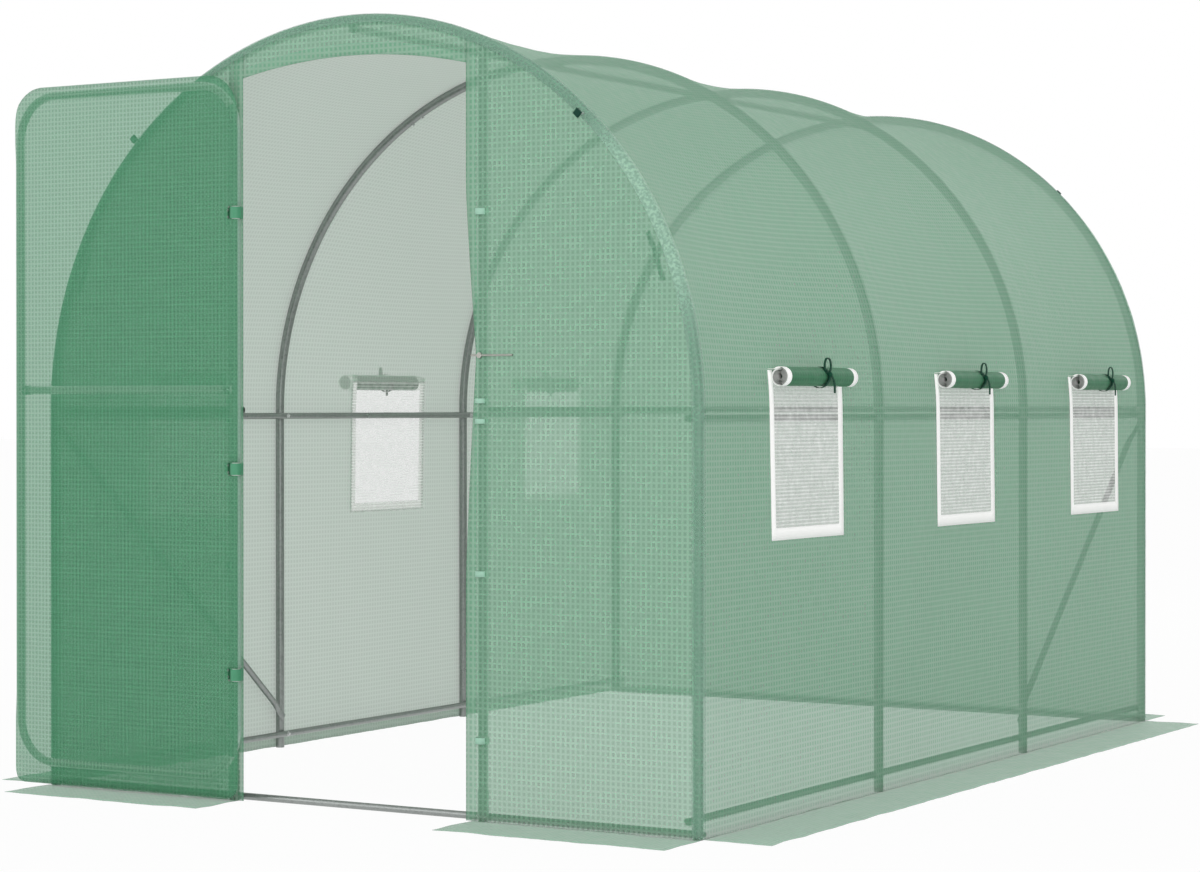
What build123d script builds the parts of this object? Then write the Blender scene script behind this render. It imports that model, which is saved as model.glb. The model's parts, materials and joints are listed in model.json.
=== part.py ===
"""Polytunnel greenhouse: a steel hoop frame under a woven cover, with rolled window flaps and one door.

Millimetres. The origin is on the ground at the centre of the plan, +Y runs to the rear and +Z is up.
The door is modelled standing open, folded back flat against the front.
"""

import math
import os

from build123d import *

# Overall form
tunnel_width = 2000.0  # over the cloth at the walls
tunnel_length = 3000.0  # front hoop to rear hoop
wall_height = 1010.0  # ground to the spring of the arch
bay_count = 3
cloth_sag = 25.0  # how far the cloth pulls in between two hoops

# Stock sizes
hoop_tube_diameter = 25.0
rail_diameter = 18.0
tube_wall = 1.0
cloth_thickness = 2.0
seat_clearance = 0.3  # between pieces that rest on one another
seam_gap = 0.4  # between neighbouring lengths of cloth or tube
cut_overrun = 50.0  # how far a cutter reaches past what it cuts

# Hoops
half_turn = 180.0
tubes_per_arch = 3

# Rails
rail_overhang = 8.0  # past the axis of the end hoop
side_mid_rail_drop = 17.0  # below the spring of the arch
rail_crossing_clearance = 1.0  # where one rail passes over another
side_base_rail_height = 42.0

# Braces, with their ends pressed flat
brace_top_height = 950.0
brace_foot_height = 95.0
brace_end_inset = 6.0  # bolt to the axis of the hoop, along the wall
brace_tab_width = 22.0
brace_tab_thickness = 3.0
brace_tab_end = 8.0  # past the bolt
brace_tab_length = 30.0
brace_taper_length = 45.0

# Front end
door_post_offset = 384.0  # centre line of the tunnel to the axis of a post
doorway_half_width = 343.0
header_depth_middle = 105.0
header_depth_side = 82.0

# Ground skirts
side_skirt_width = 180.0
end_skirt_reach = 1690.0  # centre of the plan to the outer edge
doorway_skirt_offset = 360.0  # centre line of the tunnel to the end of a front skirt

# Windows in each bay
window_width = 400.0  # over the border
window_height = 410.0
window_head_rise = 90.0  # spring of the arch to the head of the window
window_offset = 570.0  # front hoop of the bay to the middle of the window
window_side_border = 24.0
window_sill_border = 30.0
border_thickness = 1.5
wall_turn = 10.0  # degrees of arch that belong to the wall cloth
roll_diameter = 50.0
roll_core_diameter = 14.0
roll_length = 400.0
roll_drop = 5.0  # head of the window down to the axis of the roll
tie_width = 10.0
tie_thickness = 1.5
tie_offset = 595.0  # front hoop of the bay to the tie

# Door
door_tube_diameter = 22.0
door_width = 749.0  # over the frame tubes
door_head_rise = 853.0  # spring of the arch to the top of the frame
door_frame_bottom = 55.0
door_corner_radius = 115.0  # to the axis of the tube
door_mid_rail_height = 1065.0
door_cloth_hem = 4.0  # cloth past the tubes at the sides
door_cloth_head = 13.0  # cloth past the tube at the top
door_cloth_top_radius = 100.0
door_cloth_bottom_radius = 40.0
door_flap_bottom = 10.0
hinge_offset = 347.0  # centre line of the tunnel to the axis of the hinge
hinge_standoff = 40.0  # hoop plane to the axis of the hinge
hinge_heights = (330.0, 860.0, 1520.0)
hinge_height = 30.0
hinge_wall = 4.0
hinge_running_clearance = 0.1
hinge_web_width = 8.0
hinge_plate_thickness = 2.5
hinge_plate_margin = 18.0  # plate past the axis of the post
hinge_notch_clearance = 6.0

# Latch on the right door post
latch_height = 1147.0
latch_rod_diameter = 5.0
latch_rod_start = 360.0
latch_rod_end = 480.0
latch_boss_diameter = 14.0
latch_boss_thickness = 5.0

# Worked out from the sizes above
hoop_tube_radius = hoop_tube_diameter / 2
rail_radius = rail_diameter / 2
door_tube_radius = door_tube_diameter / 2
cover_radius = tunnel_width / 2
hoop_radius = cover_radius - cloth_thickness - seat_clearance - hoop_tube_radius
rail_inset = hoop_tube_radius + seat_clearance + rail_radius
bay_length = tunnel_length / bay_count
front_y = -tunnel_length / 2
hoop_places = [front_y + index * bay_length for index in range(bay_count + 1)]
end_cloth_inner = tunnel_length / 2 + hoop_tube_radius + seat_clearance
end_cloth_outer = end_cloth_inner + cloth_thickness
side_rail_x = hoop_radius - rail_inset
end_rail_y = tunnel_length / 2 - rail_inset
rail_end = tunnel_length / 2 + rail_overhang
side_mid_rail_height = wall_height - side_mid_rail_drop
end_mid_rail_height = side_mid_rail_height + rail_diameter + rail_crossing_clearance
window_top = wall_height + window_head_rise
door_frame_top = wall_height + door_head_rise
arch_axis = Axis((0, 0, 0), (0, -1, 0))
up = (0, 0, 1)


def save(name, *shapes):
    """Writes one node, which may hold several solids of the same kind."""
    solids = [solid for shape in shapes for solid in shape.solids()]
    export_step(solids[0] if len(solids) == 1 else Compound(solids), f"parts/{name}.step")


def straight_tube(start, end, diameter):
    """A round tube with open ends between two points."""
    run = Vector(*end) - Vector(*start)
    section = Circle(diameter / 2) - Circle(diameter / 2 - tube_wall)
    return extrude(Plane(origin=start, z_dir=run) * section, amount=run.length)


def both_sides(shape):
    """A piece of the right-hand side with its mirror image on the left."""
    return [shape, mirror(shape, about=Plane.YZ)]


def turned_about_arch(section, start, sweep):
    """A section drawn at the right-hand spring line, turned about the axis of the arch."""
    return Pos(0, 0, wall_height) * Rot(0, -start, 0) * revolve(section, arch_axis, sweep)


# Hoop frame


def hoop_legs(place):
    leg = straight_tube((hoop_radius, place, 0), (hoop_radius, place, wall_height), hoop_tube_diameter)
    return both_sides(leg)


def hoop_arch(place):
    """The bent tubes of one arch, end to end, as solid bars."""
    section = Pos(hoop_radius, place) * Circle(hoop_tube_radius)
    pitch = half_turn / tubes_per_arch
    joint = math.degrees(seam_gap / hoop_radius)
    tubes = []
    for index in range(tubes_per_arch):
        start = index * pitch + (joint if index else 0)
        tubes.append(turned_about_arch(section, start, (index + 1) * pitch - start))
    return tubes


def lengthwise_rail(x, z):
    return straight_tube((x, -rail_end, z), (x, rail_end, z), rail_diameter)


def crosswise_rail(start_x, end_x, y, z, diameter=rail_diameter):
    return straight_tube((start_x, y, z), (end_x, y, z), diameter)


def door_post():
    """The right-hand door post, with its head cut to the underside of the front hoop."""
    axis_height = wall_height + math.sqrt(hoop_radius**2 - door_post_offset**2)
    post = straight_tube(
        (door_post_offset, front_y, 0), (door_post_offset, front_y, axis_height), hoop_tube_diameter
    )
    seat_section = Pos(hoop_radius, front_y) * Circle(hoop_tube_radius + seat_clearance)
    return post - turned_about_arch(seat_section, 0, half_turn)


def right_brace():
    """Runs down from the rear hoop to the foot of the hoop in front, inside the wall."""
    top = Vector(side_rail_x, hoop_places[-1] - brace_end_inset, brace_top_height)
    foot = Vector(side_rail_x, hoop_places[-2] + brace_end_inset, brace_foot_height)
    run = foot - top
    along = Plane(origin=top, x_dir=(1, 0, 0), z_dir=run)
    tab_section = Pos(rail_radius - brace_tab_thickness / 2, 0) * Ellipse(
        brace_tab_thickness / 2, brace_tab_width / 2
    )
    taper_start = brace_tab_length - brace_tab_end
    taper_end = taper_start + brace_taper_length
    half = run.length / 2
    tab = extrude(along.offset(-brace_tab_end) * tab_section, amount=brace_tab_length)
    taper = loft([along.offset(taper_start) * tab_section, along.offset(taper_end) * Circle(rail_radius)])
    shank = extrude(along.offset(taper_end) * Circle(rail_radius), amount=half - taper_end)
    upper_half = tab + taper + shank
    return upper_half + mirror(upper_half, about=along.offset(half))


# Cover


def cloth_edge(bay, radius, start, stop):
    """The line of one face of a bay's cloth in plan: straight over an end hoop, sagging between hoops."""
    arc_start = max(start, hoop_places[bay])
    arc_stop = min(stop, hoop_places[bay + 1])
    middle = (arc_start + arc_stop) / 2
    lines = [ThreePointArc((radius, arc_start), (radius - cloth_sag, middle), (radius, arc_stop))]
    if start < arc_start:
        lines.append(Line((radius, start), (radius, arc_start)))
    if stop > arc_stop:
        lines.append(Line((radius, arc_stop), (radius, stop)))
    return lines


def cloth_section(bay, outer_radius, thickness):
    """A bay's cloth in plan, from its inner face to its outer one."""
    start = hoop_places[bay] + seam_gap / 2 if bay else -end_cloth_inner
    stop = hoop_places[bay + 1] - seam_gap / 2 if bay < bay_count - 1 else end_cloth_inner
    inner_radius = outer_radius - thickness
    ends = [Line((inner_radius, place), (outer_radius, place)) for place in (start, stop)]
    outer = cloth_edge(bay, outer_radius, start, stop)
    inner = cloth_edge(bay, inner_radius, start, stop)
    return make_face(outer + inner + ends)


def wall_sheet(bay, outer_radius, thickness):
    """A bay's wall cloth, drawn up the wall and on round the foot of the arch."""
    section = Pos(0, 0, cloth_thickness) * cloth_section(bay, outer_radius, thickness)
    wall_line = Line((cover_radius, cloth_thickness), (cover_radius, wall_height))
    arch_line = CenterArc((0, wall_height), cover_radius, 0, wall_turn)
    return sweep(section, path=Plane.XZ * Wire([wall_line, arch_line]))


def window_block(bay, side_margin, sill_margin):
    """A block that passes through the wall where a bay has its window."""
    height = window_height - sill_margin
    depth = 2 * cut_overrun
    centre = (cover_radius, hoop_places[bay] + window_offset, window_top - height / 2)
    return Pos(*centre) * Box(depth, window_width - 2 * side_margin, height)


def right_wall_covers():
    return [
        wall_sheet(bay, cover_radius, cloth_thickness)
        - window_block(bay, window_side_border, window_sill_border)
        for bay in range(bay_count)
    ]


def right_window_screens():
    return [
        wall_sheet(bay, cover_radius, cloth_thickness)
        & window_block(bay, window_side_border, window_sill_border)
        for bay in range(bay_count)
    ]


def right_window_borders():
    """White bands sewn on the outside of the wall round each window."""
    outer_radius = cover_radius + seat_clearance + border_thickness
    return [
        (wall_sheet(bay, outer_radius, border_thickness) & window_block(bay, 0, 0))
        - window_block(bay, window_side_border, window_sill_border)
        for bay in range(bay_count)
    ]


def cloth_radius_at(offset):
    """Radius of the cloth's outer face at a distance behind a bay's front hoop."""
    sag_radius = (bay_length**2 / 4 + cloth_sag**2) / (2 * cloth_sag)
    from_middle = offset - bay_length / 2
    return cover_radius + sag_radius - cloth_sag - math.sqrt(sag_radius**2 - from_middle**2)


def roll_axis():
    """Where the rolled flaps lie, seen from the end: just off the border, at the window's head."""
    border_radius = cloth_radius_at(window_offset + roll_length / 2) + seat_clearance + border_thickness
    axis_radius = border_radius + seat_clearance + roll_diameter / 2
    axis_height = window_top - roll_drop
    return math.sqrt(axis_radius**2 - (axis_height - wall_height) ** 2), axis_height


def lengthwise_ring(centre_offset, bay, length, outer_diameter, inner_diameter):
    """A thick tube round the axis of the rolled flaps."""
    x, z = roll_axis()
    start = hoop_places[bay] + centre_offset - length / 2
    section = Circle(outer_diameter / 2) - Circle(inner_diameter / 2)
    return extrude(Plane(origin=(x, start, z), z_dir=(0, 1, 0)) * section, amount=length)


def right_window_rolls():
    return [
        lengthwise_ring(window_offset, bay, roll_length, roll_diameter, roll_core_diameter)
        for bay in range(bay_count)
    ]


def right_window_ties():
    inner = roll_diameter + 2 * seat_clearance
    return [
        lengthwise_ring(tie_offset, bay, tie_width, inner + 2 * tie_thickness, inner)
        for bay in range(bay_count)
    ]


def arch_covers(start, stop):
    sections = [cloth_section(bay, cover_radius, cloth_thickness) for bay in range(bay_count)]
    return [turned_about_arch(section, start, stop - start) for section in sections]


def arch_height(x):
    """Height of the cover's outer edge on an end panel."""
    return wall_height + math.sqrt(cover_radius**2 - x**2)


def front_panel(outline):
    return extrude(Plane.XZ.offset(end_cloth_inner) * make_face(outline), amount=cloth_thickness)


def front_right_cover():
    rise = math.degrees(math.acos(doorway_half_width / cover_radius))
    foot_inner = (doorway_half_width, cloth_thickness)
    foot_outer = (cover_radius, cloth_thickness)
    return front_panel(
        [
            Line(foot_inner, foot_outer),
            Line(foot_outer, (cover_radius, wall_height)),
            CenterArc((0, wall_height), cover_radius, 0, rise),
            Line((doorway_half_width, arch_height(doorway_half_width)), foot_inner),
        ]
    )


def front_header_cover():
    """The band of cloth over the doorway, with a flatter arc along its lower edge."""
    rise = math.degrees(math.acos(doorway_half_width / cover_radius))
    shoulder = arch_height(doorway_half_width)
    lower_side = shoulder - header_depth_side
    lower_middle = arch_height(0) - header_depth_middle
    left, right = -doorway_half_width, doorway_half_width
    return front_panel(
        [
            CenterArc((0, wall_height), cover_radius, rise, half_turn - 2 * rise),
            Line((left, shoulder), (left, lower_side)),
            ThreePointArc((left, lower_side), (0, lower_middle), (right, lower_side)),
            Line((right, lower_side), (right, shoulder)),
        ]
    )


def rear_cover():
    foot_left = (-cover_radius, cloth_thickness)
    foot_right = (cover_radius, cloth_thickness)
    outline = make_face(
        [
            Line(foot_left, foot_right),
            Line(foot_right, (cover_radius, wall_height)),
            CenterArc((0, wall_height), cover_radius, 0, half_turn),
            Line((-cover_radius, wall_height), foot_left),
        ]
    )
    return extrude(Plane.XZ.offset(-end_cloth_outer) * outline, amount=cloth_thickness)


def right_skirt():
    """Lies on the ground outside the wall and follows the foot of its cloth."""
    inner = cover_radius - cloth_thickness
    outer = cover_radius + side_skirt_width
    front, rear = hoop_places[0], hoop_places[-1]
    lines = [Line((inner, front), (outer, front)), Line((outer, front), (outer, rear))]
    lines.append(Line((outer, rear), (inner, rear)))
    for bay in range(bay_count):
        lines += cloth_edge(bay, inner, hoop_places[bay], hoop_places[bay + 1])
    return extrude(make_face(lines), amount=cloth_thickness, dir=up)


def end_skirt(start_x, end_x, direction):
    depth = end_skirt_reach - end_cloth_inner
    centre = ((start_x + end_x) / 2, direction * (end_cloth_inner + depth / 2))
    return extrude(Pos(*centre) * Rectangle(end_x - start_x, depth), amount=cloth_thickness, dir=up)


# Door, standing open to the left of its hinge

door_axis_top = door_frame_top - door_tube_radius
door_axis_bottom = door_frame_bottom + door_tube_radius
door_axis_width = door_width - door_tube_diameter
hinge_y = front_y - hinge_standoff
free_stile_x = -hinge_offset - door_axis_width


def door_stiles():
    low, high = door_axis_bottom + door_corner_radius, door_axis_top - door_corner_radius
    return [
        straight_tube((x, hinge_y, low), (x, hinge_y, high), door_tube_diameter)
        for x in (-hinge_offset, free_stile_x)
    ]


def door_bend(end_z, turn):
    """A rail with its two corners bent round to meet the stiles, as a solid bar."""
    stile_z = end_z + turn * door_corner_radius
    path = FilletPolyline(
        (-hinge_offset, hinge_y, stile_z),
        (-hinge_offset, hinge_y, end_z),
        (free_stile_x, hinge_y, end_z),
        (free_stile_x, hinge_y, stile_z),
        radius=door_corner_radius - seam_gap,
    )
    start = Plane(origin=path @ 0, z_dir=path % 0)
    return sweep(start * Circle(door_tube_radius), path=path)


def door_mid_rail():
    """Spans the stiles, with its ends cut to their round."""
    rail = crosswise_rail(
        free_stile_x, -hinge_offset, hinge_y, door_mid_rail_height, door_tube_diameter
    )
    for x in (-hinge_offset, free_stile_x):
        seat = Cylinder(door_tube_radius + seat_clearance, 2 * door_tube_diameter)
        rail -= Pos(x, hinge_y, door_mid_rail_height) * seat
    return rail


def door_cover():
    """One sheet on the front of the frame, notched where the hinges grip the stile."""
    right = -hinge_offset + door_tube_radius + door_cloth_hem
    left = free_stile_x - door_tube_radius - door_cloth_hem
    top = door_frame_top + door_cloth_head
    middle = ((left + right) / 2, (top + door_flap_bottom) / 2)
    outline = Pos(*middle) * Rectangle(right - left, top - door_flap_bottom)
    outline = fillet(outline.vertices().group_by(Axis.Y)[-1], door_cloth_top_radius)
    outline = fillet(outline.vertices().group_by(Axis.Y)[0], door_cloth_bottom_radius)
    notch_height = hinge_height + 2 * hinge_notch_clearance
    notch_left = -hinge_offset - door_tube_radius - hinge_wall - hinge_notch_clearance
    for z in hinge_heights:
        notch_centre = ((notch_left + right + cut_overrun) / 2, z)
        outline -= Pos(*notch_centre) * Rectangle(right + cut_overrun - notch_left, notch_height)
    face_y = hinge_y - door_tube_radius - seat_clearance
    return extrude(Plane.XZ.offset(-face_y) * outline, amount=cloth_thickness)


def door_hinge(height):
    """A ring round the door's stile on a plate that sits over the post."""
    eye = Pos(-hinge_offset, hinge_y)
    bore = door_tube_radius + hinge_running_clearance
    plate_back = -end_cloth_outer
    plate_left = -door_post_offset - hinge_plate_margin
    plate_right = -hinge_offset + hinge_web_width / 2
    plate_centre = ((plate_left + plate_right) / 2, plate_back - hinge_plate_thickness / 2)
    plate = Pos(*plate_centre) * Rectangle(plate_right - plate_left, hinge_plate_thickness)
    web = Pos(-hinge_offset, (hinge_y + plate_back) / 2) * Rectangle(hinge_web_width, plate_back - hinge_y)
    outline = eye * Circle(bore + hinge_wall) + web + plate - eye * Circle(bore)
    return Pos(0, 0, height - hinge_height / 2) * extrude(outline, amount=hinge_height, dir=up)


def door_latch():
    """A swinging rod on a boss that is bolted to the right-hand post."""
    boss_plane = Plane.XZ.offset(end_cloth_outer)
    boss = extrude(
        boss_plane * Pos(door_post_offset, latch_height) * Circle(latch_boss_diameter / 2),
        amount=latch_boss_thickness,
    )
    rod_y = -end_cloth_outer - latch_boss_thickness / 2
    rod_plane = Plane(origin=(latch_rod_start, rod_y, latch_height), z_dir=(1, 0, 0))
    rod = extrude(rod_plane * Circle(latch_rod_diameter / 2), amount=latch_rod_end - latch_rod_start)
    return boss + rod


os.makedirs("parts", exist_ok=True)

hoop_names = ["front", "second", "third", "rear"]
for hoop_name, hoop_place in zip(hoop_names, hoop_places):
    save(f"{hoop_name}_hoop_legs", *hoop_legs(hoop_place))
    save(f"{hoop_name}_hoop_arch", *hoop_arch(hoop_place))

base_rail_end = hoop_radius
save("ridge_rail", lengthwise_rail(0, wall_height + side_rail_x))
save("side_mid_rails", *both_sides(lengthwise_rail(side_rail_x, side_mid_rail_height)))
save("side_base_rails", *both_sides(lengthwise_rail(side_rail_x, side_base_rail_height)))
save("front_base_rail", crosswise_rail(-base_rail_end, base_rail_end, -end_rail_y, rail_radius))
save("rear_base_rail", crosswise_rail(-base_rail_end, base_rail_end, end_rail_y, rail_radius))
save("rear_mid_rail", crosswise_rail(-base_rail_end, base_rail_end, end_rail_y, end_mid_rail_height))
front_mid_rail = crosswise_rail(
    door_post_offset - hoop_tube_radius, base_rail_end, -end_rail_y, end_mid_rail_height
)
save("front_mid_rails", *both_sides(front_mid_rail))
right_post, left_post = both_sides(door_post())
save("right_door_post", right_post)
save("left_door_post", left_post)
save("right_rear_brace", right_brace())
save("left_front_brace", Rot(0, 0, half_turn) * right_brace())

arch_pitch = half_turn / tubes_per_arch
side_pieces = {
    "wall_cover": right_wall_covers(),
    "haunch_cover": arch_covers(wall_turn, arch_pitch),
    "window_screens": right_window_screens(),
    "window_borders": right_window_borders(),
    "window_rolls": right_window_rolls(),
    "window_ties": right_window_ties(),
}
for piece_name, pieces in side_pieces.items():
    save(f"right_{piece_name}", *pieces)
    save(f"left_{piece_name}", *[mirror(piece, about=Plane.YZ) for piece in pieces])
save("crown_cover", *arch_covers(arch_pitch, half_turn - arch_pitch))
right_front, left_front = both_sides(front_right_cover())
save("front_right_cover", right_front)
save("front_left_cover", left_front)
save("front_header_cover", front_header_cover())
save("rear_cover", rear_cover())
save("side_skirts", *both_sides(right_skirt()))
save("front_skirts", *both_sides(end_skirt(doorway_skirt_offset, cover_radius, -1)))
save("rear_skirt", end_skirt(-cover_radius, cover_radius, 1))

save("door_stiles", *door_stiles())
save("door_bends", door_bend(door_axis_top, -1), door_bend(door_axis_bottom, 1))
save("door_mid_rail", door_mid_rail())
save("door_cover", door_cover())
save("door_hinges", *[door_hinge(height) for height in hinge_heights])
save("door_latch", door_latch())
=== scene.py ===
"""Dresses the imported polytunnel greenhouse: woven cover, door cloth, windows, skirts, steel and studio."""

import json
import math

import bmesh
import bpy
from bpy.props import FloatProperty, FloatVectorProperty, PointerProperty
from mathutils import Matrix, Vector, noise

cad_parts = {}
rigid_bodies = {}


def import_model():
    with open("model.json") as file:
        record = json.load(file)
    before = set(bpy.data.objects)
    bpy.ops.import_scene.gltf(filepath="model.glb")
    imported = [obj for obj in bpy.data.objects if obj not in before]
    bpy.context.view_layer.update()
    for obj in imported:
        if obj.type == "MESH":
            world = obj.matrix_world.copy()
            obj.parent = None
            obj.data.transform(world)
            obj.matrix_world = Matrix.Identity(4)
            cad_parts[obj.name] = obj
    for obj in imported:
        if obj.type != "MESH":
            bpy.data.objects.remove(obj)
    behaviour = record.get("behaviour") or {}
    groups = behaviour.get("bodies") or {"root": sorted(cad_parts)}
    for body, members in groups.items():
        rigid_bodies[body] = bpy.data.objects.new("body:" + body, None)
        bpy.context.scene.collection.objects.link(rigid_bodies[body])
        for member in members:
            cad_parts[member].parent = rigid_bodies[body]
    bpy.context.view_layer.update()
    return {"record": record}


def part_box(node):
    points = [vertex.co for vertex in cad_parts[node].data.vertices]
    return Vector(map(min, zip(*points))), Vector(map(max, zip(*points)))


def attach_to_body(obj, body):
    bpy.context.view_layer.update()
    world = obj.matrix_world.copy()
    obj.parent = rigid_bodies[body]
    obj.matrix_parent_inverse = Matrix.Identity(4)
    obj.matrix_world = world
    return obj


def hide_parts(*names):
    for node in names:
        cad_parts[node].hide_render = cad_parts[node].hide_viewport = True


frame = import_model()

bl_info = {
    "name": "Polytunnel greenhouse",
    "version": (1, 0, 0),
    "blender": (4, 5, 0),
    "location": "View3D > Sidebar > Polytunnel",
    "description": "Builds the cloth, the windows, the fittings and the studio round the packed frame",
    "category": "Object",
}

UP = Vector((0, 0, 1))
ALONG = Vector((0, 1, 0))
ACROSS = Vector((1, 0, 0))
SIDES = {"left": -1, "right": 1}


def corners(node):
    """The lowest and the highest corner of a frame node, as vectors."""
    low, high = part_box(node)
    return Vector(low), Vector(high)


def middle(node):
    low, high = corners(node)
    return (low + high) / 2


HOOPS = ("front", "second", "third", "rear")
HOOP_Y = [middle(f"{name}_hoop_legs").y for name in HOOPS]
WALL = corners("front_hoop_legs")[1].z
RADIUS = corners("rear_cover")[1].x
ARCH = math.pi * RADIUS
GIRTH = 2 * WALL + ARCH
TUBE = (corners("front_hoop_legs")[1].y - corners("front_hoop_legs")[0].y) / 2
RAIL = (corners("ridge_rail")[1].x - corners("ridge_rail")[0].x) / 2
HOOP_RADIUS = corners("front_hoop_legs")[1].x - TUBE
FRONT = corners("front_right_cover")[0].y
REAR = corners("rear_cover")[1].y
WRAP = HOOP_Y[0] - FRONT
END_RADIUS = RADIUS - WRAP
DOORWAY = corners("front_right_cover")[0].x
DOORWAY_TOP = corners("front_header_cover")[0].z
POST = middle("right_door_post").x
LATCH = middle("door_latch").z
DOOR_TUBE = (corners("door_mid_rail")[1].z - corners("door_mid_rail")[0].z) / 2
DOOR_TUBES = ("door_stiles", "door_bends", "door_mid_rail")
HINGE_HEIGHTS = (0.330, 0.860, 1.520)
HEM_THREAD_DROP = 0.10
SKIRT_TUCK = 0.002
SKIRT_GAP = 0.017
ROLL_TAIL = 0.016
STRAP_WIDTH = 0.013
STRAP_INSET = 0.031
STRAP_TURNS = (math.radians(19.0), math.radians(26.5))
KNOB_TURN = math.radians(43.6)
KNOB_HEAD = (0.018, 0.018, 0.007)
CLIPS = ((0.20, 0.016), (0.61, 0.014), (0.985, 0.012), (1.035, 0.012), (1.50, 0.016))
# radius and height of the bolts and screws
RAIL_BOLT = (0.0075, 0.006)
ARCH_BOLT = (0.0065, 0.005)
SILL_BOLT = (0.0065, 0.006)
DOOR_BOLT = (0.0055, 0.0045)
SCREW = (0.0045, 0.003)


def length(name, description, default):
    return FloatProperty(name=name, description=description, default=default, unit="LENGTH", precision=4)


def rotation(name, description, degrees):
    return FloatProperty(name=name, description=description, default=math.radians(degrees), unit="ROTATION")


def share(name, description, default):
    return FloatProperty(
        name=name, description=description, default=default, subtype="FACTOR", min=0.0, max=1.0
    )


def tint(name, description, default):
    return FloatVectorProperty(
        name=name, description=description, default=default, subtype="COLOR", size=3, min=0.0, max=1.0
    )


class CoverSettings(bpy.types.PropertyGroup):
    """Sizes of the cover's cloth."""

    thickness: length("Thickness", "Thickness of the woven sheet", 0.0008)
    foot_gap: length("Foot gap", "How far the cloth's lower edges stand over the ground", 0.002)
    sag: length("Sag", "How far the cover hangs in between two hoops", 0.025)
    slack_run: length("Slack run", "Length from the straight foot to where the slack is full", 1.60)
    wrinkle: length("Wrinkle", "Depth of the folds in the slack cloth", 0.006)
    end_bulge: length("End bulge", "How far the end cloths belly out", 0.004)
    end_pucker: length("End pucker", "Depth of the small puckers in the end cloths", 0.0015)
    hem: length("Hem", "Width of the sewn hems", 0.028)
    edge_lap: length("Edge lap", "How far the end bands lap on to the end cloths", 0.009)
    edge_lift: length("Edge lift", "How far the end bands stand off the cloth", 0.0011)
    edge_crinkle: length("Edge crinkle", "Height of the crinkles in the end bands", 0.0012)
    header_rise: length("Header rise", "How far the middle of the header's edge stands over its sides", 0.038)
    header_bulge: length("Header bulge", "How far the header bellies out", 0.002)
    header_hem: share("Header hem", "Part of the header's height that its hem takes", 0.35)
    latch_pull: length("Latch pull", "How far the latch draws the doorway's edge back", 0.030)
    pull_over: length("Pull over", "How far over the latch the edge is drawn", 0.42)
    pull_under: length("Pull under", "How far under the latch the edge is drawn", 0.55)
    ripple: length("Skirt ripple", "Height of the ripples in the skirts", 0.004)
    skirt_lift: length("Skirt lift", "How far the skirts stand over the ground", 0.0012)


class DoorSettings(bpy.types.PropertyGroup):
    """Sizes of the door's cloth."""

    top_round: length("Top corners", "Radius of the cloth's upper corners", 0.100)
    foot_round: length("Lower corners", "Radius of the cloth's lower corners", 0.040)
    bulge: length("Bulge", "How far the cloth bellies out between the tubes", 0.004)
    pucker: length("Pucker", "Depth of the small puckers", 0.0018)
    notch: length("Notch", "How far the cloth is cut back at the hinges", 0.0315)
    hinge_room: length("Hinge room", "Half the height of the cuts at the hinges", 0.0165)
    draw: length("Draw", "How far the free edge is drawn in at the corners", 0.0064)
    easing: length("Easing", "Length over which the cloth leaves the free stile at its ends", 0.08)
    sleeve_lift: length("Sleeve lift", "How far the sleeve stands off the hinge stile", 0.0013)
    sleeve_reach: length("Sleeve reach", "How far the sleeve runs into the bends", 0.060)
    sleeve_ripple: length("Sleeve ripple", "Height of the ripples in the sleeve", 0.0004)
    sleeve_start: rotation("Sleeve start", "Where the sleeve starts round the stile", -20)
    sleeve_end: rotation("Sleeve end", "Where the sleeve ends round the stile", 140)


class WindowSettings(bpy.types.PropertyGroup):
    """Sizes of the screened windows and of their rolled flaps."""

    width: length("Width", "Width of a window with its borders", 0.40)
    cut_inset: length("Cut inset", "How far the openings are cut inside the borders", 0.004)
    border: length("Border", "Width of the white tape at the sides", 0.024)
    sill: length("Sill", "Width of the white tape at the bottom", 0.030)
    border_over: length("Border over", "How far the side tapes run up past the roll's middle", 0.018)
    border_lift: length("Border lift", "How far the tapes stand off the cover", 0.0014)
    mesh_lift: length("Mesh lift", "How far the mesh stands off the cover", -0.0011)
    roll_length: length("Roll length", "Length of a rolled flap", 0.40)
    core: length("Core", "Radius of the hole in a roll", 0.007)
    turn_pitch: length("Turn pitch", "Distance between two turns of a roll", 0.0036)
    roll_tape: length("Roll tape", "Width of the white tape at a roll's ends", 0.024)
    roll_clear: length("Roll clear", "How far the rolls stand off the slack wall", 0.005)
    leave: rotation("Leave", "Where the sheet leaves its roll", 128)
    tail_lift: length("Tail lift", "How far the sheet's sewn edge stands off the cover", 0.0022)
    tie_width: length("Tie width", "Width of the flat ties", 0.012)
    tie_thickness: length("Tie thickness", "Thickness of the flat ties", 0.0012)
    tie_clear: length("Tie clear", "How far a tie stands off its roll", 0.0022)
    tie_from_middle: length("Tie from middle", "Distance of a tie from the middle of its window", 0.025)
    knot: length("Knot", "Radius of a tie's knot", 0.0062)


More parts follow.
